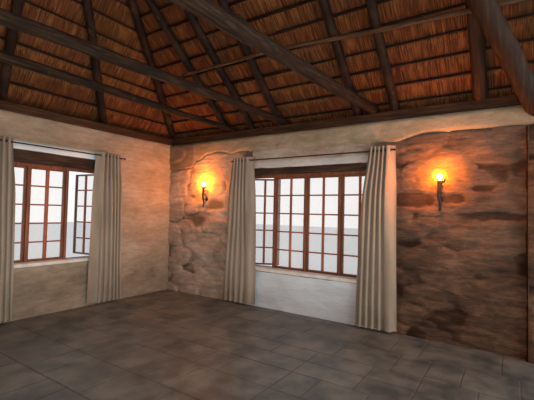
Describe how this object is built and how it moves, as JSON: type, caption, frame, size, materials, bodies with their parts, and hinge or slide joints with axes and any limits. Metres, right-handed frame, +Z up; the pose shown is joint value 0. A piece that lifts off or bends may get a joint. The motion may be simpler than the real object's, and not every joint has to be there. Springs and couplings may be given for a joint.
{
  "type": "hipped end of a thatched stone hut",
  "caption": "Hipped end of a thatched stone hut: stone walls with casement windows, log tie beams, a hipped pole roof with reed thatch, curtains and wall lamps, open at the far end.",
  "frame": {"origin": "middle of the footprint of the whole, at ground level, which is the underside of the floor and walls", "axes": "+X runs along the long walls and the ridge, from the hipped end to the open end; +Y runs across the room, towards the long wall that the picture shows; +Z is up"},
  "size_m": [6.91, 8.16, 6.2782],
  "materials": {
    "stone_floor": "honed dark flagstones, slightly worn",
    "stone_wall": "rubble stone, bag-washed",
    "plastered_stone": "stone masonry with a hand-trowelled lime plaster",
    "plaster": "hand-trowelled lime plaster",
    "plate_timber": "dark stained sawn timber",
    "log": "debarked natural log, weathered grey-brown",
    "dark_pole": "dark stained round pole",
    "pale_pole": "debarked pole",
    "brown_pole": "brown stained round pole",
    "batten": "dark stained lath poles",
    "thatch": "bundled reed",
    "ridge_mortar": "weathered cement mortar",
    "window_timber": "reddish brown painted timber",
    "glass": "clear window glass",
    "lintel_timber": "dark stained sawn timber",
    "sill_plaster": "white lime plaster",
    "black_iron": "black painted iron, slightly worn",
    "curtain_cloth": "unlined linen, taupe",
    "bulb_glass": "opal glass bulb, lit warm"
  },
  "bodies": {
    "root": {"floor": "stone_floor", "end_wall": "plastered_stone", "right_wall": "stone_wall", "left_wall": "stone_wall", "end_piers": "stone_wall", "end_band": "plaster", "right_band": "plaster", "left_band": "plaster", "end_plate": "plate_timber", "side_plates": "plate_timber", "tie_beam_1": "log", "tie_beam_2": "log", "tie_beam_3": "log", "ridge_pole": "dark_pole", "end_rafters": "dark_pole", "hip_rafters": "dark_pole", "right_rafters": "dark_pole", "left_rafters": "dark_pole", "eave_sprockets": "dark_pole", "purlins": "pale_pole", "principal_rafters": "brown_pole", "diagonal_braces": "brown_pole", "end_battens": "batten", "right_battens": "batten", "left_battens": "batten", "end_thatch": "thatch", "right_thatch": "thatch", "left_thatch": "thatch", "ridge_cap": "ridge_mortar", "right_window_frame": "window_timber", "left_window_frame": "window_timber", "end_window_frames": "window_timber", "right_sashes": "window_timber", "left_sashes": "window_timber", "end_sashes": "window_timber", "open_sashes": "window_timber", "window_glass": "glass", "lintels": "lintel_timber", "window_sills": "sill_plaster", "curtain_rods": "black_iron", "right_curtains": "curtain_cloth", "left_curtains": "curtain_cloth", "end_curtains": "curtain_cloth", "lamp_brackets": "black_iron", "lamp_bulbs": "bulb_glass"}
  },
  "joints": []
}
